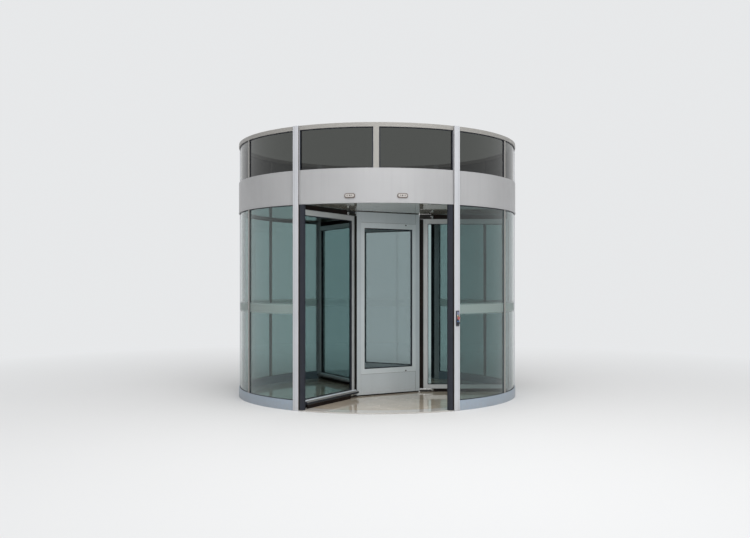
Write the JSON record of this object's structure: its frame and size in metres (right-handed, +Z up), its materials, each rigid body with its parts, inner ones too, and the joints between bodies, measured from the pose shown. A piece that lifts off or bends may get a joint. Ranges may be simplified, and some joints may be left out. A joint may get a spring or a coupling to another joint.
{
  "type": "revolving door",
  "caption": "Wide three-wing automatic revolving door: glazed drum with fascia and clerestory, turning glazed triangular core, and wings that fold on its arms.",
  "frame": {"origin": "centre of the drum on the ground", "axes": "+Z up, -Y towards the front entrance, +X towards the right wall post seen from the front"},
  "size_m": [3.724, 3.7148, 3.315],
  "materials": {
    "floor_stone": "polished beige stone",
    "bright_steel": "bright steel",
    "frame_aluminium": "satin light grey powder coat",
    "core_aluminium": "satin light grey powder coat",
    "wing_aluminium": "satin light grey powder coat",
    "fascia_panel": "satin light grey powder coat",
    "ceiling_panel": "glossy grey-green",
    "cover_panel": "plain grey",
    "black_rubber": "ribbed black rubber",
    "black_brush": "dense black bristle",
    "clear_glass": "clear, slightly green",
    "sensor_shell": "silver shell with a dark lens",
    "black_plastic": "black",
    "red_plastic": "red"
  },
  "bodies": {
    "drum": {"floor_disc": "floor_stone", "floor_bearing": "bright_steel", "sill_left": "frame_aluminium", "sill_right": "frame_aluminium", "front_posts": "frame_aluminium", "rear_posts": "frame_aluminium", "wall_posts": "frame_aluminium", "side_mullions": "frame_aluminium", "safety_strips": "black_rubber", "curved_glass_left": "clear_glass", "curved_glass_right": "clear_glass", "fascia_front": "fascia_panel", "fascia_rear": "fascia_panel", "fascia_left": "fascia_panel", "fascia_right": "fascia_panel", "ceiling": "ceiling_panel", "canopy_cover": "cover_panel", "clerestory_glass_front": "clear_glass", "clerestory_glass_rear": "clear_glass", "clerestory_glass_sides": "clear_glass", "centre_mullions": "frame_aluminium", "top_ring_front": "frame_aluminium", "top_ring_rear": "frame_aluminium", "top_ring_sides": "frame_aluminium", "motion_sensors": "sensor_shell", "switch_plates": "black_plastic", "emergency_buttons": "red_plastic"},
    "rotor": {"core_base": "core_aluminium", "core_posts": "core_aluminium", "kick_panels": "core_aluminium", "header_panels": "core_aluminium", "core_head": "core_aluminium", "showcase_plates": "cover_panel", "showcase_doors": "core_aluminium", "showcase_glass": "clear_glass", "core_brush": "black_brush", "pivot_arms": "bright_steel"},
    "wing_a": {"wing_a_frame": "wing_aluminium", "wing_a_glass": "clear_glass", "wing_a_brushes": "black_brush", "wing_a_bumper": "black_rubber"},
    "wing_b": {"wing_b_frame": "wing_aluminium", "wing_b_glass": "clear_glass", "wing_b_brushes": "black_brush", "wing_b_bumper": "black_rubber"},
    "wing_c": {"wing_c_frame": "wing_aluminium", "wing_c_glass": "clear_glass", "wing_c_brushes": "black_brush", "wing_c_bumper": "black_rubber"}
  },
  "joints": [
    {"name": "rotor_spin", "type": "hinge", "parent": "drum", "child": "rotor", "pos_m": [0, 0, 0.045], "axis": [0, 0, 1], "continuous": true},
    {"name": "wing_a_fold", "type": "hinge", "parent": "rotor", "child": "wing_a", "pos_m": [0.743, 0, 0.075], "axis": [0, 0, 1], "range_deg": [-90, 90]},
    {"name": "wing_b_fold", "type": "hinge", "parent": "rotor", "child": "wing_b", "pos_m": [-0.3715, 0.64346, 0.075], "axis": [0, 0, 1], "range_deg": [-90, 90]},
    {"name": "wing_c_fold", "type": "hinge", "parent": "rotor", "child": "wing_c", "pos_m": [-0.3715, -0.64346, 0.075], "axis": [0, 0, 1], "range_deg": [-90, 90]}
  ]
}
